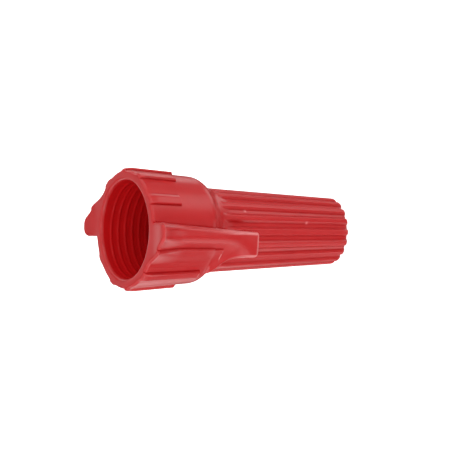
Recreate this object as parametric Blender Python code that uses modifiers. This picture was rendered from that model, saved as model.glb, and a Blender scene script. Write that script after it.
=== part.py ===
"""Winged twist-on wire connector: a moulded shell with a tapered square-wire spring inside it.

The connector stands on its closed nose. Z runs up its axis from the nose end face to the open
mouth, and the two wings lie along X. Sizes are in metres and angles in degrees.
"""

import math

import bmesh
import bpy
from mathutils import Vector

OBJECT_NAME = "twist_wire_connector"

# Overall
LENGTH = 0.0320
TURN_STEPS = 72

# Skirt: the wide threaded mouth
RIM_RADIUS = 0.00778
SKIRT_FOOT_RADIUS = 0.00700
SKIRT_FOOT_Z = 0.0223
SHOULDER_TOP_RADIUS = 0.0067
SHOULDER_TOP_Z = 0.0217
SHOULDER_FOOT_RADIUS = 0.0052
SHOULDER_FOOT_Z = 0.0206
RIM_ROUND = 0.00023

# Barrel: the fluted taper below the shoulder
BARREL_TOP_RADIUS = 0.00565
NOSE_RADIUS = 0.00443
RIB_HEIGHT = 0.00027
CORE_INSET = 0.00054
RIB_COUNT = 18
RIB_FIRST_ANGLE = -2.0
RIB_TOP_HALF_ANGLE = 3.0
RIB_FOOT_HALF_ANGLE = 7.0
RIB_RUNOUT_Z = 0.0192
BARREL_INSERT_RADIUS = 0.0049
NOSE_ROUND = 0.0006
NOSE_ROUND_STEPS = 4

# Grip pads on the skirt, the same on both halves: start angle, end angle and length from the rim
PADS = (
    (25.5, 38.0, 0.0046),
    (58.5, 71.0, 0.0055),
    (89.5, 100.5, 0.0072),
    (117.5, 132.5, 0.0084),
)
PAD_HEIGHT = 0.00033
PAD_DEPTH = 0.0008
PAD_STEPS = 3

# Pad on each wing's ramp: where its upper edge starts and settles, and its size
RAMP_PAD_MOUTH_Y = -0.0030
RAMP_PAD_REAR_Y = -0.0024
RAMP_PAD_WIDTH = 0.0014
RAMP_PAD_LENGTH = 0.0106

# Wings: sections are taken at a distance from the rim, for the wing on +X
WING_LENGTH = 0.0163
WING_SECTIONS = 20
WING_TIP_REAR = 0.0074
WING_TAPER = 0.150
WING_FLARE_LENGTH = 0.0047
WING_FLARE_CURVE = 65.0
WING_TOP_MOUTH = 0.00093
WING_TOP_REAR = -0.00035
WING_CREASE = -0.0013
WING_CORNER = 0.0011
WING_CORNER_REAR = 0.0004
WING_CORNER_STEPS = 4
WING_RAMP_STEPS = 4
WING_FRONT_CHAMFER = 0.00035
WING_FOOT_X = 0.0063
WING_FOOT_Y = -0.0047
WING_LOW_REAR = -0.0034
WING_SWEEP_START = 0.0098
WING_SWEEP_END = 0.0136
WING_RAMP_DROP_REAR = 0.0004
WING_END_ROUND = 0.0006
WING_ROOT_X = 0.0040

# Inside of the shell
BORE_RADIUS = 0.00645
BORE_FOOT_RADIUS = 0.0060
BORE_FOOT_Z = 0.0230
SEAT_RADIUS = 0.00440
SEAT_Z = 0.0208
WELL_RADIUS = 0.00310
WELL_Z = 0.0014
CUTTER_OVERRUN = 0.001

# Thread ridge that pulls the conductors in
THREAD_PITCH = 0.00101
THREAD_TURNS = 6
THREAD_TOP_Z = 0.03095
THREAD_HALF_SIZE = 0.00027
THREAD_SINK = 0.00009
THREAD_STEPS = 36

# Spring
WIRE_SIZE = 0.0009
SPRING_TOP_RADIUS = 0.00340
SPRING_FOOT_RADIUS = 0.00222
SPRING_TOP_Z = 0.0196
SPRING_FOOT_Z = 0.0024
SPRING_TURNS = 11.25
SPRING_STEPS = 28

# Finishes
SHELL_COLOUR = (0.48, 0.02, 0.02, 1.0)
SHELL_ROUGHNESS = 0.35
STEEL_COLOUR = (0.62, 0.61, 0.58, 1.0)
STEEL_ROUGHNESS = 0.35

MERGE_DISTANCE = 1e-6


def clear_scene():
    for item in list(bpy.data.objects):
        bpy.data.objects.remove(item, do_unlink=True)


def new_collection(name):
    group = bpy.data.collections.new(name)
    bpy.context.scene.collection.children.link(group)
    return group


def new_material(name, colour, roughness, metallic):
    material = bpy.data.materials.new(name)
    material.use_nodes = True
    shader = material.node_tree.nodes["Principled BSDF"]
    shader.inputs["Base Color"].default_value = colour
    shader.inputs["Roughness"].default_value = roughness
    shader.inputs["Metallic"].default_value = metallic
    return material


def add_object(name, data, group):
    item = bpy.data.objects.new(name, data)
    group.objects.link(item)
    return item


def mark_cutter(item):
    item.hide_render = True
    item.display_type = "WIRE"


def mix(start, end, share):
    return start + (end - start) * share


def smooth_step(value):
    value = min(max(value, 0.0), 1.0)
    return value * value * (3.0 - 2.0 * value)


def polar(radius, degrees, height):
    angle = math.radians(degrees)
    return Vector((radius * math.cos(angle), radius * math.sin(angle), height))


def turned(name, profile, group):
    """A profile of (radius, z) points, outer side running down, turned about Z."""
    mesh = bpy.data.meshes.new(name)
    mesh.from_pydata(
        [(radius, 0.0, height) for radius, height in profile],
        [(i, i + 1) for i in range(len(profile) - 1)],
        [],
    )
    item = add_object(name, mesh, group)
    screw = item.modifiers.new("turn", "SCREW")
    screw.axis = "Z"
    screw.steps = TURN_STEPS
    screw.render_steps = TURN_STEPS
    screw.use_merge_vertices = True
    screw.merge_threshold = MERGE_DISTANCE
    screw.use_smooth_shade = True
    return item


def lofted(name, rings, group):
    """A closed solid through rings of points, each ring anticlockwise seen from above, top first."""
    mesh = bpy.data.meshes.new(name)
    shape = bmesh.new()
    layers = [[shape.verts.new(point) for point in ring] for ring in rings]
    count = len(rings[0])
    for upper, lower in zip(layers, layers[1:]):
        for i in range(count):
            j = (i + 1) % count
            shape.faces.new((upper[i], lower[i], lower[j], upper[j]))
    shape.faces.new(layers[0])
    shape.faces.new(reversed(layers[-1]))
    shape.to_mesh(mesh)
    shape.free()
    return add_object(name, mesh, group)


def helix_wire(name, path, half_diagonal, group):
    """A square wire along the path, one corner of its section turned to the axis."""
    curve = bpy.data.curves.new(name, "CURVE")
    curve.dimensions = "3D"
    curve.twist_mode = "Z_UP"
    curve.bevel_depth = half_diagonal
    curve.bevel_resolution = 0
    curve.use_fill_caps = True
    spline = curve.splines.new("POLY")
    spline.points.add(len(path) - 1)
    for point, place in zip(spline.points, path):
        point.co = (*place, 1.0)
    return add_object(name, curve, group)


def curve_to_mesh(item, group):
    """Replace a curve object by a closed mesh object of the same name."""
    name = item.name
    bpy.context.view_layer.update()
    evaluated = item.evaluated_get(bpy.context.evaluated_depsgraph_get())
    mesh = bpy.data.meshes.new_from_object(evaluated)
    shape = bmesh.new()
    shape.from_mesh(mesh)
    bmesh.ops.remove_doubles(shape, verts=shape.verts, dist=MERGE_DISTANCE)
    bmesh.ops.recalc_face_normals(shape, faces=shape.faces)
    shape.to_mesh(mesh)
    shape.free()
    place = item.matrix_world.copy()
    bpy.data.objects.remove(item, do_unlink=True)
    solid = add_object(name, mesh, group)
    solid.matrix_world = place
    return solid


def combine(item, other, operation):
    boolean = item.modifiers.new(other.name, "BOOLEAN")
    boolean.operation = operation
    boolean.solver = "EXACT"
    boolean.object = other
    mark_cutter(other)


def skirt_radius(height):
    share = (height - SKIRT_FOOT_Z) / (LENGTH - SKIRT_FOOT_Z)
    return mix(SKIRT_FOOT_RADIUS, RIM_RADIUS, share)


def barrel_radius(height):
    """Radius over the ribs."""
    return mix(NOSE_RADIUS, BARREL_TOP_RADIUS, height / SHOULDER_FOOT_Z)


def body_solid(group):
    """The skirt and shoulder as a solid of revolution, closed through the barrel's core."""
    profile = [
        (0.0, LENGTH),
        (RIM_RADIUS, LENGTH),
        (SKIRT_FOOT_RADIUS, SKIRT_FOOT_Z),
        (SHOULDER_TOP_RADIUS, SHOULDER_TOP_Z),
        (SHOULDER_FOOT_RADIUS, SHOULDER_FOOT_Z),
        (NOSE_RADIUS - CORE_INSET, NOSE_ROUND),
        (0.0, NOSE_ROUND),
    ]
    return turned("shell", profile, group)


def rib_ring(radius, rib_height, height):
    """One cross-section of the fluted barrel: flat-topped ribs with sloping sides."""
    ring = []
    for index in range(RIB_COUNT):
        middle = RIB_FIRST_ANGLE + index * 360.0 / RIB_COUNT
        ring.append(polar(radius - rib_height, middle - RIB_FOOT_HALF_ANGLE, height))
        ring.append(polar(radius, middle - RIB_TOP_HALF_ANGLE, height))
        ring.append(polar(radius, middle + RIB_TOP_HALF_ANGLE, height))
        ring.append(polar(radius - rib_height, middle + RIB_FOOT_HALF_ANGLE, height))
    return ring


def barrel_solid(group):
    plain = barrel_radius(SHOULDER_FOOT_Z) - 0.5 * RIB_HEIGHT
    rings = [
        rib_ring(BARREL_INSERT_RADIUS, 0.0, SHOULDER_TOP_Z),
        rib_ring(plain, 0.0, SHOULDER_FOOT_Z),
        rib_ring(barrel_radius(RIB_RUNOUT_Z), RIB_HEIGHT, RIB_RUNOUT_Z),
    ]
    for step in range(NOSE_ROUND_STEPS):
        angle = 0.5 * math.pi * step / (NOSE_ROUND_STEPS - 1)
        inset = NOSE_ROUND * (1.0 - math.cos(angle))
        height = NOSE_ROUND * (1.0 - math.sin(angle))
        rings.append(rib_ring(barrel_radius(height) - inset, RIB_HEIGHT, height))
    return lofted("barrel", rings, group)


def pad_solid(name, start, end, length, group):
    """A raised pad that follows the skirt's taper, proud of it by PAD_HEIGHT."""
    rings = []
    for height in (LENGTH, LENGTH - length):
        outer = skirt_radius(height) + PAD_HEIGHT
        inner = outer - PAD_HEIGHT - PAD_DEPTH
        ring = [polar(outer, mix(start, end, i / PAD_STEPS), height) for i in range(PAD_STEPS + 1)]
        ring += [polar(inner, mix(end, start, i / PAD_STEPS), height) for i in range(PAD_STEPS + 1)]
        rings.append(ring)
    return lofted(name, rings, group)


def wing_tip_x(depth):
    """How far the wing reaches from the axis, at a distance from the rim."""
    straight = WING_TIP_REAR + WING_TAPER * (WING_LENGTH - depth)
    flare = max(WING_FLARE_LENGTH - depth, 0.0)
    chamfer = max(WING_FRONT_CHAMFER - depth, 0.0)
    return straight + WING_FLARE_CURVE * flare * flare - chamfer


def wing_low_y(depth):
    """The wing's lower edge, which sweeps up behind the shoulder and is round at its end."""
    sweep = smooth_step((depth - WING_SWEEP_START) / (WING_SWEEP_END - WING_SWEEP_START))
    low = mix(WING_FOOT_Y, WING_LOW_REAR, sweep)
    past = max(depth - (WING_LENGTH - WING_END_ROUND), 0.0)
    return low + WING_END_ROUND - math.sqrt(max(WING_END_ROUND ** 2 - past ** 2, 0.0))


def ramp_points(depth):
    """The foot and the tip end of the wing's ramp, as (x, y), at a distance from the rim."""
    tip = wing_tip_x(depth)
    sweep = smooth_step((depth - WING_SWEEP_START) / (WING_LENGTH - WING_SWEEP_START))
    foot_x = mix(WING_FOOT_X, tip - WING_RAMP_DROP_REAR, sweep)
    return (foot_x, wing_low_y(depth)), (tip, WING_CREASE)


def wing_ring(depth, side):
    """A wing's cross-section, for the wing on +X when side is 1 and on -X when it is -1."""
    share = depth / WING_LENGTH
    top = mix(WING_TOP_MOUTH, WING_TOP_REAR, share)
    corner = mix(WING_CORNER, WING_CORNER_REAR, share)
    foot, crease = ramp_points(depth)
    tip = crease[0]
    ring = [(WING_ROOT_X, foot[1])]
    for step in range(WING_RAMP_STEPS + 1):
        along = step / WING_RAMP_STEPS
        ring.append((mix(foot[0], tip, along), mix(foot[1], WING_CREASE, along)))
    for step in range(WING_CORNER_STEPS):
        angle = 0.5 * math.pi * step / (WING_CORNER_STEPS - 1)
        ring.append((
            tip - corner + corner * math.cos(angle),
            top - corner + corner * math.sin(angle),
        ))
    ring.append((WING_ROOT_X, top))
    return [Vector((x * side, y * side, LENGTH - depth)) for x, y in ring]


def wing_solid(name, side, group):
    depths = [0.0, WING_FRONT_CHAMFER]
    for step in range(1, WING_SECTIONS):
        share = step / (WING_SECTIONS - 1)
        depths.append(mix(WING_FRONT_CHAMFER, WING_LENGTH, share))
    return lofted(name, [wing_ring(depth, side) for depth in depths], group)


def ramp_pad_solid(name, side, group):
    """The fifth pad, a step on the wing's ramp."""
    rings = []
    for depth in (0.0, WING_FLARE_LENGTH * 0.5, WING_FLARE_LENGTH, RAMP_PAD_LENGTH):
        foot, crease = (Vector((*point, LENGTH - depth)) for point in ramp_points(depth))
        along = (foot - crease).normalized()
        out = Vector((-along.y, along.x, 0.0))
        settled = smooth_step(depth / WING_FLARE_LENGTH)
        upper_y = mix(RAMP_PAD_MOUTH_Y, RAMP_PAD_REAR_Y, settled)
        start = crease + along * ((upper_y - crease.y) / along.y)
        end = start + along * RAMP_PAD_WIDTH
        rise = out * PAD_HEIGHT
        sink = out * PAD_DEPTH
        ring = [end - sink, end + rise, start + rise, start - sink]
        rings.append([Vector((p.x * side, p.y * side, p.z)) for p in ring])
    return lofted(name, rings, group)


def cavity_cutter(group):
    profile = [
        (0.0, LENGTH + CUTTER_OVERRUN),
        (BORE_RADIUS + RIM_ROUND, LENGTH + CUTTER_OVERRUN),
        (BORE_RADIUS + RIM_ROUND, LENGTH),
        (BORE_RADIUS, LENGTH - RIM_ROUND),
        (BORE_FOOT_RADIUS, BORE_FOOT_Z),
        (SEAT_RADIUS, SEAT_Z),
        (WELL_RADIUS, WELL_Z),
        (0.0, WELL_Z),
    ]
    return turned("cavity", profile, group)


def bore_radius(height):
    share = (height - BORE_FOOT_Z) / (LENGTH - BORE_FOOT_Z)
    return mix(BORE_FOOT_RADIUS, BORE_RADIUS, share)


def thread_ridge(group):
    path = []
    for step in range(THREAD_TURNS * THREAD_STEPS + 1):
        turns = step / THREAD_STEPS
        height = THREAD_TOP_Z - THREAD_PITCH * turns
        path.append(polar(bore_radius(height) + THREAD_SINK, -360.0 * turns, height))
    wire = helix_wire("thread_ridge", path, THREAD_HALF_SIZE, group)
    return curve_to_mesh(wire, group)


def build_shell(parts, cutters, material):
    shell = body_solid(parts)
    combine(shell, barrel_solid(cutters), "UNION")
    for side, label in ((1, "right"), (-1, "left")):
        combine(shell, wing_solid(f"wing_{label}", side, cutters), "UNION")
        combine(shell, ramp_pad_solid(f"ramp_pad_{label}", side, cutters), "UNION")
    for index, (start, end, length) in enumerate(PADS):
        for turn in (0.0, 180.0):
            name = f"pad_{index}_{int(turn)}"
            combine(shell, pad_solid(name, start + turn, end + turn, length, cutters), "UNION")
    combine(shell, cavity_cutter(cutters), "DIFFERENCE")
    combine(shell, thread_ridge(cutters), "UNION")
    shell.data.materials.append(material)
    return shell


def build_spring(parts, material):
    path = []
    steps = round(SPRING_TURNS * SPRING_STEPS)
    for step in range(steps + 1):
        share = step / steps
        height = mix(SPRING_FOOT_Z, SPRING_TOP_Z, share)
        radius = mix(SPRING_FOOT_RADIUS, SPRING_TOP_RADIUS, share)
        path.append(polar(radius, 360.0 * SPRING_TURNS * share, height))
    wire = helix_wire("spring", path, WIRE_SIZE / math.sqrt(2.0), parts)
    spring = curve_to_mesh(wire, parts)
    spring.data.materials.append(material)
    return spring


def main():
    clear_scene()
    parts = new_collection(OBJECT_NAME)
    cutters = new_collection("cutters")
    red = new_material("red_plastic", SHELL_COLOUR, SHELL_ROUGHNESS, 0.0)
    steel = new_material("plated_steel", STEEL_COLOUR, STEEL_ROUGHNESS, 1.0)
    build_shell(parts, cutters, red)
    build_spring(parts, steel)


main()
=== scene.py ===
import math
from itertools import product

import bpy
import numpy as np
from mathutils import Matrix, Vector


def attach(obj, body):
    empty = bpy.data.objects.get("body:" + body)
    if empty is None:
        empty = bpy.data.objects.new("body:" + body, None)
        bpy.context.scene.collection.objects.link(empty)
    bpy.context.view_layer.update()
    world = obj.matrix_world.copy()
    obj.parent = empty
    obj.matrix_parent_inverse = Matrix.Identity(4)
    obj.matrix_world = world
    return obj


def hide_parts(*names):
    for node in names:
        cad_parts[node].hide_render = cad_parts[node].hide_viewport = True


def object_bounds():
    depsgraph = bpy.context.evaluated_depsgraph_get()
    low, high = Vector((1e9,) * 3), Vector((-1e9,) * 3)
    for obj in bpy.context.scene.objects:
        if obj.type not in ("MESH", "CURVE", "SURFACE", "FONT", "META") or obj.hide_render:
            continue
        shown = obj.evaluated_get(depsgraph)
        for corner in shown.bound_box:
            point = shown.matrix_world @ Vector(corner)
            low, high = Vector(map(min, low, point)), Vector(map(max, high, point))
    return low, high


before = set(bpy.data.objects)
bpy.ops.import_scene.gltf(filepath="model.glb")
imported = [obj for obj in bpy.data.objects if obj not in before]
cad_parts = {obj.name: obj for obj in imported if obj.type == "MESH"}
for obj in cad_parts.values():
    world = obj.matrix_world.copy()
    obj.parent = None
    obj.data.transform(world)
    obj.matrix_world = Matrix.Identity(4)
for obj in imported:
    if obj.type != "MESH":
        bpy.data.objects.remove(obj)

CAD_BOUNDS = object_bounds()

# Lengths in this file are in millimetres, angles in degrees. "depth" is the distance from the rim.
MM = 0.001
LENGTH = round(float(CAD_BOUNDS[1][2]) / MM, 3)

# Body
SKIRT_DEPTHS = (0.0, 9.7, 10.1, 11.15, 11.6, 12.1)
SKIRT_RADII = (7.78, 7.02, 6.84, 5.92, 5.70, 5.60)
SKIRT_SOFTNESS = 0.55
SOFTENING_SAMPLES = 9
BARREL_FOOT_DEPTH = 11.4
BARREL_TOP_RADIUS = 5.65
NOSE_RADIUS = 4.43
NOSE_ROUND = 0.6
RIM_ROUND = 0.38
LIP_ROUND = 0.42

# Ribs
RIB_COUNT = 18
RIB_FIRST_ANGLE = -2.0
RIB_HEIGHT = 0.33
RIB_TOP_HALF_ANGLE = 2.7
RIB_FOOT_HALF_ANGLE = 7.2
RIB_START_DEPTH = 11.6
RIB_FULL_DEPTH = 13.6

# Grip pads: start angle, end angle, length, how much further round they lie at the mouth,
# and whether the crisp side is the start
PADS = (
    (25.0, 38.0, 4.85, 0.0, True),
    (58.5, 71.0, 5.6, 0.0, True),
    (89.5, 100.5, 7.2, 0.0, True),
    (117.5, 132.5, 8.7, 1.4, False),
)
PAD_HEIGHT = 0.38
PAD_CRISP_EDGE = 0.8
PAD_RUN_IN = 1.3
PAD_SOFT_EDGE = 6.5
PAD_END_EDGE = 0.12
PAD_SEARCH_ANGLE = 30.0
PAD_MOUTH_SHARE = 0.6

# Wings: sizes of the one on +X. Pairs run from the mouth toward the rear.
WING_LENGTH = 16.3
WING_TIP_REAR = 7.4
WING_TAPER = 0.150
WING_FLARE_LENGTH = 4.7
WING_FLARE_CURVE = 0.065
WING_TOP = (0.93, -0.35)
WING_CREASE = -1.3
WING_CORNER = (1.1, 0.4)
WING_CREASE_ROUND = 0.5
WING_FOOT_Y = -4.7
WING_FOOT_CUT = (-5.0, -6.5)
WING_FOOT_CUT_START = 9.6
WING_FOOT_CUT_REACH = 1.0
FLAP_RADIUS = 7.0
FLAP_DEPTHS = (9.6, 10.4, 10.9, 11.4, 11.9, 12.4, 13.2, 14.2)
FLAP_LOW_Y = (-5.8, -5.65, -5.25, -4.55, -4.1, -3.84, -3.64, -3.55)
FLAP_SOFTNESS = 0.3
FLAP_START = 9.8
WING_SWEEP_START = 10.6
WING_RAMP_DROP_REAR = 0.4
WING_LOW_ROUND = 0.34
WING_FOOT_ROUND = 0.5
WING_END_ROUND = 0.42
WING_LOWER_END_ROUND = 0.7
WING_END_REACH = 0.5
WING_FILLET = 0.22
WING_LEAN = 0.26
WING_LEAN_START = 7.6
WING_LEAN_REACH = 3.4
WING_LEAN_DEPTH = 9.0
RAMP_PAD_Y = (-2.85, -2.5)
RAMP_PAD_HEIGHT = (0.48, 0.33)
RAMP_PAD_STEP = 0.10
RAMP_PAD_SOFT_END = -4.6
RAMP_PAD_SOFT_EDGE = 1.6
RAMP_PAD_LENGTH = 10.9
RAMP_PAD_RUN_OUT = 3.0
RAMP_PAD_REAR_SHARE = 0.55

# Inside
BORE_RADIUS = 6.45
BORE_FOOT_RADIUS = 6.0
BORE_FOOT_Z = 23.0
SEAT_RADIUS = 4.40
SEAT_Z = 20.8
WELL_RADIUS = 3.10
WELL_Z = 1.4
THREAD_PITCH = 1.01
THREAD_TURNS = 6.3
THREAD_TOP_Z = 30.95
THREAD_HEIGHT = 0.075
THREAD_HALF_WIDTH = 0.17
THREAD_RING_STEP = 0.07
# The ridge is part risen where it starts, and runs in and out over these shares of a turn
THREAD_START_SHARE = 0.2
THREAD_RUN_IN = 0.25
THREAD_RUN_OUT = 0.5
SEAT_RINGS = 8
WELL_RINGS = 12
SEAT_STEP = 0.05

# Spring
SPRING_RADII = (2.22, 3.40)
SPRING_HEIGHTS = (2.4, 19.6)
SPRING_TURNS = 11.25
WIRE_HALF = 0.45
WIRE_ROUND = 0.07
WIRE_ROUND_STEPS = 3
SPRING_STEPS_PER_TURN = 72

# Columns over one half turn, from below the wing to above it, which follow the edges
HALF_START = -71.0
COLUMNS_BELOW_WING = 60
WING_RUNS = (14, 20, 10, 34, 30, 12, 40, 50, 60)
COLUMNS_WING = sum(WING_RUNS)
ABOVE_WING_RUNS = (60, 10, 60, 10, 60, 10, 60)
COLUMNS_ABOVE_WING = sum(ABOVE_WING_RUNS)
EVEN_SHARE = 0.04
STEEPEST_MEETING = 0.95
# How far in angle and in height a step's corner columns stand clear of it
STEP_CLEAR_ANGLE = 0.3
STEP_CLEAR_HEIGHT = 0.06

# Rings along the part
RING_STEP_FINE = 0.12
RING_STEP_BARREL = 0.30
RING_STEP_LEAST = 0.02
PAD_END_RINGS = 5
WING_END_ARC_RINGS = 9
END_FACE_RINGS = 6
WING_END_MARGIN = 0.0001
ROUND_STEPS = 6
FACE_STEPS = 8
EDGE_SOFTENING = 14

# The search for the surface, in and out from each first guess
NORMAL_WINDOW = 9
NORMAL_PASSES = 2
SURFACE_SEARCH = (-1.1, 0.7)
SURFACE_HALVINGS = 22
FAR_OUTSIDE = 9.0

# Where the red is painted pale as a highlight on the wings' edges, and painted dark as shade in hollow
# corners
EDGE_REACH = 0.2
EDGE_WRAP = 40
EDGE_FROM = 0.09
EDGE_FULL = 0.24
HOLLOW_FROM = 0.07
HOLLOW_FULL = 0.24
BARREL_HOLLOW_SHADE = 0.55
HIGHLIGHT_AT_RIM = 0.3
HIGHLIGHT_RIM_REACH = 0.6
HIGHLIGHT_PAST_WING = 0.1
HIGHLIGHT_PAST_PAD = 0.3
# Which of WING_RUNS climb the steps of the last grip pad and of the ramp's pad
STEP_RUNS = (2, 5)
STEP_MARGIN = 6

# Two small pale spots painted on the barrel, as depth and angle
PALE_SPOTS = ((25.1, 12.9), (15.66, 29.6))
PALE_SPOT_SIZE = 0.16


def mix(start, end, share):
    return start + (end - start) * share


def smooth_step(value):
    value = np.clip(value, 0.0, 1.0)
    return value * value * (3.0 - 2.0 * value)


def round_both(a, b, radius):
    """Where both a and b are inside, with the outer corner between them rounded."""
    inside = np.minimum(np.maximum(a, b), -radius)
    return inside + np.hypot(np.maximum(a + radius, 0.0), np.maximum(b + radius, 0.0))


def round_either(a, b, radius):
    """Where either a or b is inside, with the hollow corner between them filleted."""
    outside = np.maximum(np.minimum(a, b), radius)
    return outside - np.hypot(np.maximum(radius - a, 0.0), np.maximum(radius - b, 0.0))


# ---------------------------------------------------------------- body

def angle_apart(angle, middle):
    return (angle - middle + 180.0) % 360.0 - 180.0


def softened(depth, depths, values, reach):
    """A curve through corner points, averaged over the reach on both sides."""
    offsets = np.linspace(-reach, reach, SOFTENING_SAMPLES)
    return sum(np.interp(depth + offset, depths, values) for offset in offsets) / len(offsets)


def turned_radius(depth):
    """The plain body, with a soft shoulder between the skirt and the barrel."""
    share = (depth - BARREL_FOOT_DEPTH) / (LENGTH - BARREL_FOOT_DEPTH)
    barrel = mix(BARREL_TOP_RADIUS, NOSE_RADIUS, share)
    skirt = softened(depth, SKIRT_DEPTHS, SKIRT_RADII, SKIRT_SOFTNESS)
    return np.where(depth < SKIRT_DEPTHS[-1], np.maximum(barrel, skirt), barrel)


def rib_relief(angle, depth):
    """Grooves between the ribs, whose crests stay on the plain body."""
    pitch = 360.0 / RIB_COUNT
    away = np.abs((angle - RIB_FIRST_ANGLE + pitch / 2) % pitch - pitch / 2)
    rib = 1.0 - smooth_step((away - RIB_TOP_HALF_ANGLE) / (RIB_FOOT_HALF_ANGLE - RIB_TOP_HALF_ANGLE))
    shown = smooth_step((depth - RIB_START_DEPTH) / (RIB_FULL_DEPTH - RIB_START_DEPTH))
    return RIB_HEIGHT * shown * (rib - 1.0)


def pad_relief(angle, depth):
    relief = np.zeros(np.broadcast(angle, depth).shape)
    for start, end, length, swing, crisp_start in PADS:
        turned_on = swing * (1.0 - depth / length)
        start_edge = PAD_CRISP_EDGE if crisp_start else PAD_SOFT_EDGE
        end_edge = PAD_SOFT_EDGE if crisp_start else PAD_CRISP_EDGE
        for turn in (turned_on, turned_on + 180.0):
            rise = smooth_step(angle_apart(angle, start + turn) / start_edge)
            fall = smooth_step(angle_apart(end + turn, angle) / end_edge)
            near = np.abs(angle_apart(angle, 0.5 * (start + end) + turn)) < PAD_SEARCH_ANGLE
            run_in = mix(PAD_MOUTH_SHARE, 1.0, smooth_step(depth / PAD_RUN_IN))
            shown = smooth_step((length - depth) / PAD_END_EDGE) * run_in
            relief = relief + PAD_HEIGHT * rise * fall * near * shown
    return relief


def body_radius(angle, depth):
    return turned_radius(depth) + rib_relief(angle, depth) + pad_relief(angle, depth)


# ---------------------------------------------------------------- wings

def wing_tip(depth):
    flare = np.maximum(WING_FLARE_LENGTH - depth, 0.0)
    return WING_TIP_REAR + WING_TAPER * (WING_LENGTH - depth) + WING_FLARE_CURVE * flare ** 2


def end_inset(depth, radius):
    """How far a side has drawn in at the rounded rear end of the wing."""
    past = np.clip(depth - (WING_LENGTH - radius), 0.0, radius)
    return radius - np.sqrt(radius ** 2 - past ** 2)


def wing_sizes(depth):
    """Top, low, tip, ramp foot and corner radius of the wing on +X, at a depth."""
    share = np.clip(depth / WING_LENGTH, 0.0, 1.0)
    inset = end_inset(depth, WING_END_ROUND)
    low = softened(depth, FLAP_DEPTHS, FLAP_LOW_Y, FLAP_SOFTNESS)
    low = low + end_inset(depth, WING_LOWER_END_ROUND)
    top = mix(WING_TOP[0], WING_TOP[1], share) - inset
    tip = wing_tip(depth) - inset
    ramp_sweep = smooth_step((depth - WING_SWEEP_START) / (WING_LENGTH - WING_SWEEP_START))
    skin = np.maximum(turned_radius(depth), FLAP_RADIUS)
    on_skin = np.sqrt(skin ** 2 - np.maximum(low, WING_FOOT_Y) ** 2)
    foot_x = mix(on_skin, tip - WING_RAMP_DROP_REAR, ramp_sweep)
    corner = mix(WING_CORNER[0], WING_CORNER[1], share)
    return top, low, tip, foot_x, corner


def ramp_pad_upper(depth):
    """The level of the ramp pad's upper edge."""
    return mix(RAMP_PAD_Y[0], RAMP_PAD_Y[1], smooth_step(depth / WING_FLARE_LENGTH))


def ramp_pad(y, depth):
    """How far the pad stands off the ramp at a level y."""
    height = mix(RAMP_PAD_HEIGHT[0], RAMP_PAD_HEIGHT[1], smooth_step(depth / WING_FLARE_LENGTH))
    run_out = smooth_step((RAMP_PAD_LENGTH - depth) / RAMP_PAD_RUN_OUT)
    height = height * mix(RAMP_PAD_REAR_SHARE, 1.0, run_out)
    rise = smooth_step((ramp_pad_upper(depth) - y) / RAMP_PAD_STEP)
    fall = smooth_step((y - RAMP_PAD_SOFT_END) / RAMP_PAD_SOFT_EDGE)
    return height * rise * fall * smooth_step((RAMP_PAD_LENGTH - depth) / PAD_END_EDGE)


def wing_distance(x, y, depth):
    """Signed distance to the outline of the wing on +X: below zero inside."""
    top, low, tip, foot_x, corner = wing_sizes(depth)
    foot_y = np.maximum(low, WING_FOOT_Y)
    run_x, run_y = tip - foot_x, WING_CREASE - foot_y
    size = np.hypot(run_x, run_y)
    ramp = ((x - foot_x) * run_y - (y - foot_y) * run_x) / size - ramp_pad(y, depth)
    shape = round_both(y - top, x - tip, corner)
    shape = round_both(shape, ramp, WING_CREASE_ROUND)
    cut_share = smooth_step((depth - WING_FOOT_CUT_START) / WING_FOOT_CUT_REACH)
    cut = mix(WING_FOOT_CUT[0], WING_FOOT_CUT[1], cut_share)
    shape = round_both(shape, cut - y, WING_FOOT_ROUND)
    flap = np.maximum(np.hypot(x, y) - FLAP_RADIUS, y - top)
    shape = round_either(shape, np.where(depth > FLAP_START, flap, FAR_OUTSIDE), WING_FILLET)
    return round_both(shape, low - y, WING_LOW_ROUND)


def shell_distance(x, y, depth):
    angle = np.degrees(np.arctan2(y, x))
    body = np.hypot(x, y) - body_radius(angle, depth)
    return round_either(body, wing_distance(x, y, depth), WING_FILLET)


def meeting_angle(y, depth):
    """The angle at which a level line y meets the plain body."""
    level = np.clip(y / turned_radius(depth), -STEEPEST_MEETING, STEEPEST_MEETING)
    return np.degrees(np.arcsin(level))


def runs_of_points(corners, runs):
    """Points along the polyline through each row's corners, with a set number on each run."""
    xs = np.stack([corner[0] for corner in corners], axis=1)
    ys = np.stack([corner[1] for corner in corners], axis=1)
    steps = np.hypot(np.diff(xs, axis=1), np.diff(ys, axis=1)) + 1e-6
    walk = np.concatenate([np.zeros((len(xs), 1)), np.cumsum(steps, axis=1)], axis=1)
    marks = np.concatenate([[0], np.cumsum(runs)])
    count = marks[-1]
    out_x = np.empty((len(xs), count))
    out_y = np.empty((len(xs), count))
    for row in range(len(xs)):
        kept = np.interp(np.arange(count), marks * (count - 1) / count, walk[row])
        even = np.linspace(0.0, walk[row, -1], count)
        at = mix(kept, even, EVEN_SHARE)
        out_x[row] = np.interp(at, walk[row], xs[row])
        out_y[row] = np.interp(at, walk[row], ys[row])
    return out_x, out_y


def on_flap(angle, low, radius):
    """A point on the skirt, or on the flap behind it, no lower than the flap's edge."""
    y = np.maximum(radius * np.sin(np.radians(angle)), low)
    return np.sqrt(radius ** 2 - y ** 2), y


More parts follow.
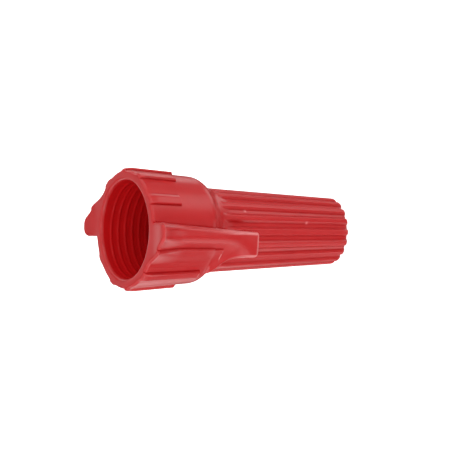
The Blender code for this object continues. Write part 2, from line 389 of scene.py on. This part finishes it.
def wing_corners(depths):
    """The corners of the wing's section, from where its low edge leaves the body round to its top."""
    top, low, tip, foot_x, _ = wing_sizes(depths)
    radius = turned_radius(depths)
    low_angle = np.radians(meeting_angle(low, depths))
    top_angle = np.radians(meeting_angle(top, depths))
    skin = np.maximum(radius, FLAP_RADIUS)
    step_angle = PADS[-1][1] - 180.0 + PADS[-1][3] * (1.0 - depths / PADS[-1][2])
    foot_y = np.maximum(low, WING_FOOT_Y)
    pad_y = ramp_pad_upper(depths)
    crease = (tip, np.full(tip.shape, WING_CREASE))

    def on_ramp(y):
        y = np.maximum(y, foot_y)
        return mix(foot_x, tip, (y - foot_y) / (WING_CREASE - foot_y)), y

    return [
        (radius * np.cos(low_angle), radius * np.sin(low_angle)),
        on_flap(-90.0, low, skin),
        on_flap(step_angle - PAD_CRISP_EDGE - STEP_CLEAR_ANGLE, low, skin),
        on_flap(step_angle + STEP_CLEAR_ANGLE, low, skin),
        (foot_x, foot_y),
        on_ramp(pad_y - RAMP_PAD_STEP - STEP_CLEAR_HEIGHT),
        on_ramp(pad_y + STEP_CLEAR_HEIGHT),
        crease,
        (tip, top),
        (radius * np.cos(top_angle), radius * np.sin(top_angle)),
    ]


def half_guess(depths):
    """A first outline over one half turn at each depth, and the body angle kept for each column."""
    depths = np.asarray(depths, float)
    top, low = wing_sizes(depths)[:2]
    low_angle = meeting_angle(low, depths)[:, None]
    top_angle = meeting_angle(top, depths)[:, None]
    below = mix(HALF_START, low_angle, np.arange(COLUMNS_BELOW_WING) / COLUMNS_BELOW_WING)
    across = mix(low_angle, top_angle, np.linspace(0.0, 1.0, COLUMNS_WING))
    marks = np.cumsum((0,) + ABOVE_WING_RUNS)
    steps = []
    for start in (PADS[0][0], PADS[1][0], PADS[2][0]):
        steps += [start - STEP_CLEAR_ANGLE, start + PAD_CRISP_EDGE + STEP_CLEAR_ANGLE]
    steps.append(HALF_START + 180.0)
    above = np.empty((len(depths), COLUMNS_ABOVE_WING))
    for row in range(len(depths)):
        above[row] = np.interp(np.arange(COLUMNS_ABOVE_WING) + 1, marks, [top_angle[row, 0]] + steps)
    # the last column stays half a step short of the other half's first one
    above[:, -1] = 0.5 * (above[:, -1] + above[:, -2])
    wing_x, wing_y = runs_of_points(wing_corners(depths), WING_RUNS)
    angles = np.concatenate([below, across, above], axis=1)
    body = body_radius(angles, depths[:, None])
    x = body * np.cos(np.radians(angles))
    y = body * np.sin(np.radians(angles))
    middle = slice(COLUMNS_BELOW_WING, COLUMNS_BELOW_WING + COLUMNS_WING)
    x[:, middle] = wing_x
    y[:, middle] = wing_y
    return x, y, angles


def outward(x, y):
    """Smoothed outward directions along a half outline, whose ends turn into each other."""
    full_x = np.concatenate([x, -x], axis=1)
    full_y = np.concatenate([y, -y], axis=1)
    dx = np.roll(full_x, -1, axis=1) - np.roll(full_x, 1, axis=1)
    dy = np.roll(full_y, -1, axis=1) - np.roll(full_y, 1, axis=1)
    size = np.hypot(dx, dy) + 1e-9
    nx, ny = dy / size, -dx / size
    for _ in range(NORMAL_PASSES):
        sum_x = sum(np.roll(nx, k, axis=1) for k in range(-NORMAL_WINDOW, NORMAL_WINDOW + 1))
        sum_y = sum(np.roll(ny, k, axis=1) for k in range(-NORMAL_WINDOW, NORMAL_WINDOW + 1))
        size = np.hypot(sum_x, sum_y)
        nx, ny = sum_x / size, sum_y / size
    half = x.shape[1]
    return nx[:, :half], ny[:, :half]


def half_outline(depths):
    """The true outline over one half turn: each guess moved in or out until it lies on the surface."""
    depths = np.asarray(depths, float)
    x, y, angles = half_guess(depths)
    nx, ny = outward(x, y)
    low = np.full(x.shape, SURFACE_SEARCH[0])
    high = np.full(x.shape, SURFACE_SEARCH[1])
    for _ in range(SURFACE_HALVINGS):
        middle = 0.5 * (low + high)
        inside = shell_distance(x + nx * middle, y + ny * middle, depths[:, None]) < 0.0
        low = np.where(inside, middle, low)
        high = np.where(inside, high, middle)
    return x + nx * low, y + ny * low, nx, ny, angles


def run_together(x, y):
    """A half outline with each point averaged with its neighbours, so that small steps melt away."""
    full_x, full_y = full_turn(x, y)
    reach = range(-EDGE_SOFTENING, EDGE_SOFTENING + 1)
    weights = [EDGE_SOFTENING + 1 - abs(k) for k in reach]
    soft_x = sum(w * np.roll(full_x, k) for w, k in zip(weights, reach)) / sum(weights)
    soft_y = sum(w * np.roll(full_y, k) for w, k in zip(weights, reach)) / sum(weights)
    return soft_x[:len(x)], soft_y[:len(y)]


def full_turn(x, y):
    return np.concatenate([x, -x], axis=-1), np.concatenate([y, -y], axis=-1)


# ---------------------------------------------------------------- shell rings

def outer_rings():
    """Rings of points up the outside, from the nose to the rim's rounded edge, and the face inside it."""
    wing_depths = [np.arange(RIM_ROUND, WING_LENGTH - WING_LOWER_END_ROUND, RING_STEP_FINE)]
    for length in [pad[2] for pad in PADS] + [RAMP_PAD_LENGTH]:
        wing_depths.append(np.linspace(length - PAD_END_EDGE, length, PAD_END_RINGS))
    wing_depths = np.unique(np.concatenate(wing_depths))
    apart = np.diff(wing_depths, prepend=-1.0) > RING_STEP_LEAST
    wing_depths = wing_depths[apart]
    turn = np.linspace(0.0, math.pi / 2, WING_END_ARC_RINGS + 1)[1:]
    end_depths = WING_LENGTH - WING_LOWER_END_ROUND + WING_LOWER_END_ROUND * np.sin(turn)
    depths = np.concatenate([wing_depths, end_depths - WING_END_MARGIN])
    x, y, nx, ny, angles = half_outline(depths)
    rings = []
    wing = np.zeros(angles.shape[1])
    wing[COLUMNS_BELOW_WING:COLUMNS_BELOW_WING + COLUMNS_WING] = 1.0
    last = angles[-1]
    last_cos, last_sin = np.cos(np.radians(last)), np.sin(np.radians(last))

    # barrel, from the nose end up
    for step in range(ROUND_STEPS + 1):
        theta = 0.5 * math.pi * step / ROUND_STEPS
        height = NOSE_ROUND * (1.0 - math.cos(theta))
        inset = NOSE_ROUND * (1.0 - math.sin(theta))
        radius = body_radius(last, LENGTH - height) - inset
        rings.append((radius * last_cos, radius * last_sin, height))
    barrel_start = LENGTH - NOSE_ROUND - RING_STEP_BARREL
    for depth in np.arange(barrel_start, WING_LENGTH + WING_END_REACH, -RING_STEP_BARREL):
        radius = body_radius(last, depth)
        rings.append((radius * last_cos, radius * last_sin, LENGTH - depth))

    # the wing's rear end face grows out of the body, while the rest of each ring climbs the barrel
    for share in np.linspace(0.0, 1.0, END_FACE_RINGS + 1)[:-1]:
        depth = WING_LENGTH + WING_END_REACH * (1.0 - share) * (1.0 - wing)
        radius = body_radius(last, depth)
        root_x, root_y = radius * last_cos, radius * last_sin
        out = share * wing
        rings.append((mix(root_x, x[-1], out), mix(root_y, y[-1], out), LENGTH - depth))
    for row in range(len(depths) - 1, -1, -1):
        rings.append((x[row], y[row], LENGTH - depths[row]))

    # rounded front edge
    soft_x, soft_y = run_together(x[0], y[0])
    for step in range(1, ROUND_STEPS + 1):
        theta = 0.5 * math.pi * step / ROUND_STEPS
        inset = RIM_ROUND * (1.0 - math.cos(theta))
        height = LENGTH - RIM_ROUND * (1.0 - math.sin(theta))
        soft = math.sin(theta) ** 2
        side_x, side_y = mix(x[0], soft_x, soft), mix(y[0], soft_y, soft)
        rings.append((side_x - nx[0] * inset, side_y - ny[0] * inset, height))
    return rings, angles[0]


def bore_wall(height):
    return np.interp(height, (WELL_Z, SEAT_Z, BORE_FOOT_Z, LENGTH),
                     (WELL_RADIUS, SEAT_RADIUS, BORE_FOOT_RADIUS, BORE_RADIUS))


def thread_relief(angle, height):
    """The right-hand ridge round the bore, fading out at both ends."""
    turns = (THREAD_TOP_Z - height) / THREAD_PITCH
    phase = turns + angle / 360.0
    away = np.abs(phase - np.round(phase)) * THREAD_PITCH
    ridge = np.exp(-(away / THREAD_HALF_WIDTH) ** 2)
    along = np.round(phase) - angle / 360.0
    run_in = smooth_step(along / THREAD_RUN_IN + THREAD_START_SHARE)
    shown = run_in * smooth_step((THREAD_TURNS - along) / THREAD_RUN_OUT)
    return THREAD_HEIGHT * ridge * shown


def inner_rings(face, angles):
    """Rings from the rim's face into the bore, down to the bottom of the well."""
    cos, sin = np.cos(np.radians(angles)), np.sin(np.radians(angles))
    lip = BORE_RADIUS + LIP_ROUND
    rings = []
    for share in np.linspace(0.0, 1.0, FACE_STEPS + 1)[1:]:
        rings.append((mix(face[0], lip * cos, share), mix(face[1], lip * sin, share), LENGTH))
    for step in range(1, ROUND_STEPS + 1):
        theta = 0.5 * math.pi * step / ROUND_STEPS
        radius = lip - LIP_ROUND * math.sin(theta)
        rings.append((radius * cos, radius * sin, LENGTH - LIP_ROUND * (1.0 - math.cos(theta))))
    threaded = np.arange(LENGTH - LIP_ROUND - THREAD_RING_STEP, BORE_FOOT_Z, -THREAD_RING_STEP)
    seat = np.linspace(BORE_FOOT_Z, SEAT_Z, SEAT_RINGS)
    well = np.linspace(SEAT_Z - SEAT_STEP, WELL_Z, WELL_RINGS)
    for height in np.concatenate([threaded, seat, well]):
        radius = bore_wall(height) - thread_relief(angles, height)
        rings.append((radius * cos, radius * sin, height))
    return rings


def lean(points):
    """The wing tips stand a little forward of the rim."""
    reach = smooth_step((np.abs(points[..., 0]) - WING_LEAN_START) / WING_LEAN_REACH)
    fade = np.clip(1.0 - (LENGTH - points[..., 2]) / WING_LEAN_DEPTH, 0.0, 1.0)
    points[..., 2] += WING_LEAN * reach * fade
    return points


def grid_mesh(name, points, poles):
    """A closed skin over rings of points, with the first and the last ring each closed to a pole."""
    rows, columns = points.shape[:2]
    vertices = np.concatenate([points.reshape(-1, 3), np.asarray(poles)])
    i, j = np.meshgrid(np.arange(rows - 1), np.arange(columns), indexing="ij")
    k = (j + 1) % columns
    here, above = i * columns, (i + 1) * columns
    quads = np.stack([here + j, here + k, above + k, above + j], axis=-1).reshape(-1, 4)
    j = np.arange(columns)
    k = (j + 1) % columns
    first_pole, last_pole = rows * columns, rows * columns + 1
    last_ring = (rows - 1) * columns
    first_fan = np.stack([np.full(columns, first_pole), k, j], axis=-1)
    last_fan = np.stack([np.full(columns, last_pole), last_ring + j, last_ring + k], axis=-1)
    triangles = np.concatenate([first_fan, last_fan])
    mesh = bpy.data.meshes.new(name)
    mesh.vertices.add(len(vertices))
    mesh.vertices.foreach_set("co", (vertices * MM).astype(np.float32).ravel())
    loops = np.concatenate([quads.ravel(), triangles.ravel()])
    mesh.loops.add(len(loops))
    mesh.loops.foreach_set("vertex_index", loops.astype(np.int32))
    sizes = np.concatenate([np.full(len(quads), 4), np.full(len(triangles), 3)])
    mesh.polygons.add(len(sizes))
    loop_starts = np.concatenate([[0], np.cumsum(sizes)[:-1]])
    mesh.polygons.foreach_set("loop_start", loop_starts.astype(np.int32))
    mesh.update(calc_edges=True)
    mesh.validate()
    mesh.shade_smooth()
    return mesh


def bulge(line, closed):
    """How far each point of a line stands off the chord between points a short way to both sides."""
    if closed:
        line = np.concatenate([line[-EDGE_WRAP:], line, line[:EDGE_WRAP]])
    walk = np.concatenate([[0.0], np.cumsum(np.linalg.norm(np.diff(line, axis=0), axis=1) + 1e-7)])
    before = np.stack([np.interp(walk - EDGE_REACH, walk, line[:, k]) for k in range(3)], axis=1)
    after = np.stack([np.interp(walk + EDGE_REACH, walk, line[:, k]) for k in range(3)], axis=1)
    off = (line - 0.5 * (before + after)) / EDGE_REACH
    return off[EDGE_WRAP:-EDGE_WRAP] if closed else off


def edges_and_hollows(points):
    """Two values for each point: 1 on outer edges, and 1 in hollow corners. Both are 0 on flat places."""
    round_the_part = np.stack([bulge(row, True) for row in points])
    along_the_part = np.stack([bulge(column, False) for column in points.transpose(1, 0, 2)], axis=1)
    across = np.roll(points, -2, axis=1) - np.roll(points, 2, axis=1)
    along = np.zeros_like(points)
    along[2:-2] = points[4:] - points[:-4]
    along[:2], along[-2:] = along[2], along[-3]
    normal = np.cross(across, along)
    normal /= np.linalg.norm(normal, axis=-1, keepdims=True) + 1e-9
    raised_round = (round_the_part * normal).sum(-1)
    raised_along = (along_the_part * normal).sum(-1)
    edge = smooth_step((np.maximum(raised_round, raised_along) - EDGE_FROM) / (EDGE_FULL - EDGE_FROM))
    hollow = smooth_step((-raised_round - HOLLOW_FROM) / (HOLLOW_FULL - HOLLOW_FROM))
    return edge, hollow


def keep_to_wing_edges(edge, points, outer_count):
    """The painted highlight only shows on the wings, away from their pads' steps, and only as far back as
    they reach.
    """
    half = points.shape[1] // 2
    column = np.arange(2 * half) % half - COLUMNS_BELOW_WING
    edge[:, (column < 0) | (column >= COLUMNS_WING)] = 0.0
    edge[outer_count - ROUND_STEPS:] = 0.0
    depth = LENGTH - points[..., 2]
    edge[depth > WING_LENGTH + HIGHLIGHT_PAST_WING] = 0.0
    edge *= mix(HIGHLIGHT_AT_RIM, 1.0, smooth_step((depth - RIM_ROUND) / HIGHLIGHT_RIM_REACH))
    ends = np.cumsum(WING_RUNS)
    for run in STEP_RUNS:
        step = (column > ends[run - 1] - STEP_MARGIN) & (column < ends[run] + STEP_MARGIN)
        edge[step[None, :] & (depth < RAMP_PAD_LENGTH + HIGHLIGHT_PAST_PAD)] = 0.0
    return edge


def pale_spot_marks(points):
    """1 in the middle of each pale spot, fading out round it."""
    angle = np.degrees(np.arctan2(points[..., 1], points[..., 0]))
    marks = np.zeros(angle.shape)
    for spot_depth, spot_angle in PALE_SPOTS:
        along = LENGTH - spot_depth - points[..., 2]
        across = np.radians(angle_apart(angle, spot_angle)) * BARREL_TOP_RADIUS
        marks = np.maximum(marks, np.exp(-(np.hypot(along, across) / PALE_SPOT_SIZE) ** 2))
    return marks


def store(mesh, name, values, at_nose, at_bottom):
    """Keep a value for every point, and one for each of the skin's two poles."""
    layer = mesh.attributes.new(name, "FLOAT", "POINT")
    layer.data.foreach_set("value", np.concatenate([values.ravel(), [at_nose, at_bottom]]).astype(np.float32))


def make_shell():
    half_rings, angles = outer_rings()
    outer = []
    for x, y, height in half_rings:
        outer.append((*full_turn(x, y), np.tile(np.broadcast_to(height, x.shape), 2)))
    inner = inner_rings(outer[-1], np.concatenate([angles, angles + 180.0]))
    points = []
    for x, y, height in outer + inner:
        points.append(np.stack([x, y, np.broadcast_to(height, x.shape)], axis=-1))
    points = lean(np.stack(points))
    mesh = grid_mesh("shell_visual", points, ((0.0, 0.0, 0.0), (0.0, 0.0, WELL_Z)))
    edge, hollow = edges_and_hollows(points)
    # painted shade: the hollow value darkens the red in hollow corners of the outside, less on the barrel
    hollow[len(outer):] = 0.0
    hollow *= mix(1.0, BARREL_HOLLOW_SHADE, smooth_step(LENGTH - points[..., 2] - BARREL_FOOT_DEPTH))
    inside = np.zeros(hollow.shape)
    inside[len(outer) + FACE_STEPS + ROUND_STEPS:] = 1.0
    # painted highlight: the edge value lightens the red along the wings' outer edges
    edge = keep_to_wing_edges(edge, points, len(outer))
    # the two pale spots are laid into the same value as the wings' painted highlight
    edge[:len(outer)] = np.maximum(edge[:len(outer)], pale_spot_marks(points[:len(outer)]))
    store(mesh, "painted_highlight_and_spots", edge, 0.0, 0.0)
    store(mesh, "hollow", hollow, 0.0, 0.0)
    store(mesh, "inside", inside, 0.0, 1.0)
    shell = bpy.data.objects.new("shell_visual", mesh)
    bpy.context.scene.collection.objects.link(shell)
    return shell


# ---------------------------------------------------------------- spring

def wire_section():
    """A square with rounded corners, standing on a corner, as (outward, upward) points."""
    reach = (WIRE_HALF - WIRE_ROUND) * math.sqrt(2.0)
    points = []
    for corner in range(4):
        middle = math.radians(90.0 * (corner + 1))
        for step in range(WIRE_ROUND_STEPS + 1):
            turn = middle + math.radians(90.0 * step / WIRE_ROUND_STEPS - 45.0)
            outward = reach * math.cos(middle) + WIRE_ROUND * math.cos(turn)
            upward = reach * math.sin(middle) + WIRE_ROUND * math.sin(turn)
            points.append((outward, upward))
    return points


def make_spring():
    section = wire_section()
    steps = int(SPRING_TURNS * SPRING_STEPS_PER_TURN)
    rows = []
    for step in range(steps + 1):
        share = step / steps
        radius = mix(SPRING_RADII[0], SPRING_RADII[1], share)
        height = mix(SPRING_HEIGHTS[0], SPRING_HEIGHTS[1], share)
        angle = 2.0 * math.pi * SPRING_TURNS * share
        rows.append([
            ((radius + u) * math.cos(angle), (radius + u) * math.sin(angle), height + v) for u, v in section
        ])
    points = np.array(rows)[::-1]
    ends = (points[0].mean(axis=0), points[-1].mean(axis=0))
    mesh = grid_mesh("spring_visual", points, ends)
    spring = bpy.data.objects.new("spring_visual", mesh)
    bpy.context.scene.collection.objects.link(spring)
    return spring


# ---------------------------------------------------------------- finishes

# Linear red, green, blue and alpha
RED_BASE = ((0.60, 0.019, 0.021, 1.0), (0.66, 0.024, 0.026, 1.0))
# painted shade: a darker red for the inside of the bore
RED_INSIDE_PAINTED_SHADE = (0.61, 0.008, 0.010, 1.0)
# painted shade: a darker red for hollow corners
RED_PAINTED_SHADE = (0.43, 0.004, 0.005, 1.0)
# painted highlight: a pale red for the wings' edges, also used for the two pale spots
RED_PAINTED_HIGHLIGHT_AND_SPOTS = (0.95, 0.30, 0.30, 1.0)
STEEL = ((0.56, 0.56, 0.55, 1.0), (0.70, 0.69, 0.66, 1.0))
TABLE_WHITE = ((0.94, 0.94, 0.94, 1.0), (0.97, 0.97, 0.97, 1.0))
BUMP_STRENGTH = 0.08
BUMP_DEPTH = 0.02


def new_material(name):
    material = bpy.data.materials.new(name)
    material.use_nodes = True
    nodes = material.node_tree.nodes
    return material, nodes, material.node_tree.links, nodes["Principled BSDF"]


def noise(nodes, links, scale, detail=4.0, roughness=0.55):
    place = nodes.new("ShaderNodeTexCoord")
    texture = nodes.new("ShaderNodeTexNoise")
    texture.inputs["Scale"].default_value = scale
    texture.inputs["Detail"].default_value = detail
    texture.inputs["Roughness"].default_value = roughness
    links.new(place.outputs["Object"], texture.inputs["Vector"])
    return texture.outputs["Fac"]


def remap(nodes, links, value, low, high, from_low=0.3, from_high=0.7):
    ranger = nodes.new("ShaderNodeMapRange")
    ranger.inputs["From Min"].default_value = from_low
    ranger.inputs["From Max"].default_value = from_high
    ranger.inputs["To Min"].default_value = low
    ranger.inputs["To Max"].default_value = high
    links.new(value, ranger.inputs["Value"])
    return ranger.outputs["Result"]


def colour_mixer(nodes, links, share, colour):
    mixer = nodes.new("ShaderNodeMix")
    mixer.data_type = "RGBA"
    links.new(share, mixer.inputs["Factor"])
    mixer.inputs["B"].default_value = colour
    return mixer


def vary_colour(nodes, links, share, pair):
    """A colour between the two of a pair."""
    mixer = colour_mixer(nodes, links, share, pair[1])
    mixer.inputs["A"].default_value = pair[0]
    return mixer.outputs["Result"]


def lay_colour(nodes, links, share, under, colour):
    """A colour laid over what is under it."""
    mixer = colour_mixer(nodes, links, share, colour)
    links.new(under, mixer.inputs["A"])
    return mixer.outputs["Result"]


def join_values(nodes, links, operation, left, right):
    joined = nodes.new("ShaderNodeMath")
    joined.operation = operation
    links.new(left, joined.inputs[0])
    links.new(right, joined.inputs[1])
    return joined.outputs["Value"]


def mesh_value(nodes, name):
    reader = nodes.new("ShaderNodeAttribute")
    reader.attribute_name = name
    return reader.outputs["Fac"]


def add_bump(nodes, links, shader, scale):
    bump = nodes.new("ShaderNodeBump")
    bump.inputs["Strength"].default_value = BUMP_STRENGTH
    bump.inputs["Distance"].default_value = BUMP_DEPTH * MM
    links.new(noise(nodes, links, scale, 2.0), bump.inputs["Height"])
    links.new(bump.outputs["Normal"], shader.inputs["Normal"])


def red_plastic():
    """Red moulding, with painted shade inside the bore and in hollow corners, a painted highlight on the
    wings' edges, and two small pale spots.
    """
    material, nodes, links, shader = new_material("red_plastic_look")
    inside = mesh_value(nodes, "inside")
    hollow = mesh_value(nodes, "hollow")
    broad = remap(nodes, links, noise(nodes, links, 160.0, 3.0), 0.0, 1.0)
    colour = vary_colour(nodes, links, broad, RED_BASE)
    # painted shade: the inside of the bore is darkened toward a deeper red
    colour = lay_colour(nodes, links, inside, colour, RED_INSIDE_PAINTED_SHADE)
    # painted shade: hollow corners are darkened toward a deeper red
    painted_shade = remap(nodes, links, hollow, 0.0, 0.8, 0.0, 1.0)
    colour = lay_colour(nodes, links, painted_shade, colour, RED_PAINTED_SHADE)
    patchy = remap(nodes, links, noise(nodes, links, 420.0), 0.6, 1.0)
    # painted highlight on the wings' edges, broken up by noise, together with the two pale spots
    highlight_and_spots = join_values(nodes, links, "MULTIPLY", mesh_value(nodes, "painted_highlight_and_spots"), patchy)
    colour = lay_colour(nodes, links, highlight_and_spots, colour, RED_PAINTED_HIGHLIGHT_AND_SPOTS)
    links.new(colour, shader.inputs["Base Color"])
    roughness = remap(nodes, links, noise(nodes, links, 900.0), 0.28, 0.36)
    links.new(roughness, shader.inputs["Roughness"])
    sheltered = join_values(nodes, links, "MAXIMUM", inside, hollow)
    shine = remap(nodes, links, sheltered, 0.5, 0.15, 0.0, 1.0)
    links.new(shine, shader.inputs["Specular IOR Level"])
    add_bump(nodes, links, shader, 1500.0)
    return material


def plated_steel():
    material, nodes, links, shader = new_material("plated_steel_look")
    shade = remap(nodes, links, noise(nodes, links, 700.0), 0.0, 1.0)
    links.new(vary_colour(nodes, links, shade, STEEL), shader.inputs["Base Color"])
    roughness = remap(nodes, links, noise(nodes, links, 1800.0), 0.26, 0.42)
    links.new(roughness, shader.inputs["Roughness"])
    shader.inputs["Metallic"].default_value = 1.0
    add_bump(nodes, links, shader, 1800.0)
    return material


def white_table():
    material, nodes, links, shader = new_material("white_table_look")
    shade = remap(nodes, links, noise(nodes, links, 14.0), 0.0, 1.0)
    links.new(vary_colour(nodes, links, shade, TABLE_WHITE), shader.inputs["Base Color"])
    roughness = remap(nodes, links, noise(nodes, links, 300.0), 0.75, 0.9)
    links.new(roughness, shader.inputs["Roughness"])
    shader.inputs["Specular IOR Level"].default_value = 0.1
    shader.inputs["Emission Color"].default_value = (1.0, 1.0, 1.0, 1.0)
    shader.inputs["Emission Strength"].default_value = 1.0
    return material


# ---------------------------------------------------------------- view and light

# The camera: the part's tilt toward it and turn in it, and where the part's middle lies in view
VIEW_TILT = math.radians(30.28)
VIEW_TURN = math.radians(0.49)
VIEW_DISTANCE = 400.0
VIEW_CENTRE = (0.676, -0.703)
SENSOR = 36.0
FOCAL = 241.33
TABLE_HALF = 3000.0
TABLE_DROP = 0.02


def view_axes():
    """The camera's right, up and back directions in the part's frame, as matrix rows."""
    # x, y and z are the part's own axes as the camera sees them
    flat, rise = math.cos(VIEW_TILT), math.sin(VIEW_TILT)
    z = Vector((-flat * math.cos(VIEW_TURN), flat * math.sin(VIEW_TURN), rise))
    x = Vector((rise, 0.0, flat * math.cos(VIEW_TURN))).normalized()
    y = z.cross(x)
    return Matrix((x, y, z)).transposed()


def to_part(point):
    """From camera coordinates in millimetres to the part's frame in metres."""
    axes = view_axes()
    middle = axes @ Vector((0.0, 0.0, LENGTH / 2))
    offset = Vector((VIEW_CENTRE[0], VIEW_CENTRE[1], -VIEW_DISTANCE)) - middle
    return (axes.transposed() @ (Vector(point) - offset)) * MM


def add_camera():
    data = bpy.data.cameras.new("camera")
    data.sensor_width = SENSOR
    data.lens = FOCAL
    data.clip_start = 0.01
    data.clip_end = 10.0
    camera = bpy.data.objects.new("camera", data)
    bpy.context.scene.collection.objects.link(camera)
    turn = view_axes().transposed().to_4x4()
    camera.matrix_world = Matrix.Translation(to_part((0.0, 0.0, 0.0))) @ turn
    bpy.context.scene.camera = camera


# A light tent: soft lamps toward each wall, edge and corner of a box round the part, set square
# to the camera. The powers, in watts, are those of a lamp in the middle of each wall.
LIGHT_DISTANCE = 250.0
LIGHT_SIZE = 130.0
TENT_LEFT_RIGHT = (0.05, 0.05)
TENT_BELOW_ABOVE = (0.11, 0.10)
TENT_BACK_FRONT = (0.03, 0.11)


def tent_power(direction):
    """A lamp between walls takes a share of each, by the square of its direction."""
    walls = (TENT_LEFT_RIGHT, TENT_BELOW_ABOVE, TENT_BACK_FRONT)
    return sum(part * part * wall[part > 0.0] for part, wall in zip(direction, walls))


def add_lights():
    aim = to_part((0.0, 0.0, -VIEW_DISTANCE))
    sides = (-1.0, 0.0, 1.0)
    for across, up, towards in product(sides, sides, sides):
        if across == up == towards == 0.0:
            continue
        direction = Vector((across, up, towards)).normalized()
        data = bpy.data.lights.new("tent_lamp", "AREA")
        data.shape = "DISK"
        data.size = LIGHT_SIZE * MM
        data.energy = tent_power(direction)
        lamp = bpy.data.objects.new("tent_lamp", data)
        bpy.context.scene.collection.objects.link(lamp)
        lamp.visible_camera = False
        lamp.location = to_part(direction * LIGHT_DISTANCE - Vector((0.0, 0.0, VIEW_DISTANCE)))
        lamp.rotation_euler = (aim - lamp.location).to_track_quat("-Z", "Y").to_euler()


def add_world():
    """A white ground that only the camera sees, so that the tent alone lights the part."""
    world = bpy.data.worlds.new("studio")
    world.use_nodes = True
    background = world.node_tree.nodes["Background"]
    background.inputs["Color"].default_value = (1.0, 1.0, 1.0, 1.0)
    background.inputs["Strength"].default_value = 1.0
    world.cycles_visibility.diffuse = False
    world.cycles_visibility.glossy = False
    bpy.context.scene.world = world


def add_floor():
    """A white table just under the nose, which the tent's lower lamps shine through."""
    half = TABLE_HALF * MM
    corners = [(-half, -half, 0.0), (half, -half, 0.0), (half, half, 0.0), (-half, half, 0.0)]
    mesh = bpy.data.meshes.new("table")
    mesh.from_pydata(corners, [], [(0, 1, 2, 3)])
    floor = bpy.data.objects.new("table", mesh)
    floor.location.z = -TABLE_DROP * MM
    bpy.context.scene.collection.objects.link(floor)
    mesh.materials.append(white_table())
    floor.visible_diffuse = False
    floor.visible_glossy = False
    floor.visible_shadow = False


def main():
    shell = make_shell()
    shell.data.materials.append(red_plastic())
    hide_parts("shell")
    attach(shell, "root")
    spring = make_spring()
    spring.data.materials.append(plated_steel())
    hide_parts("spring")
    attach(spring, "root")
    add_floor()
    add_world()
    add_lights()
    add_camera()
    bpy.context.scene.view_settings.view_transform = "Standard"


main()
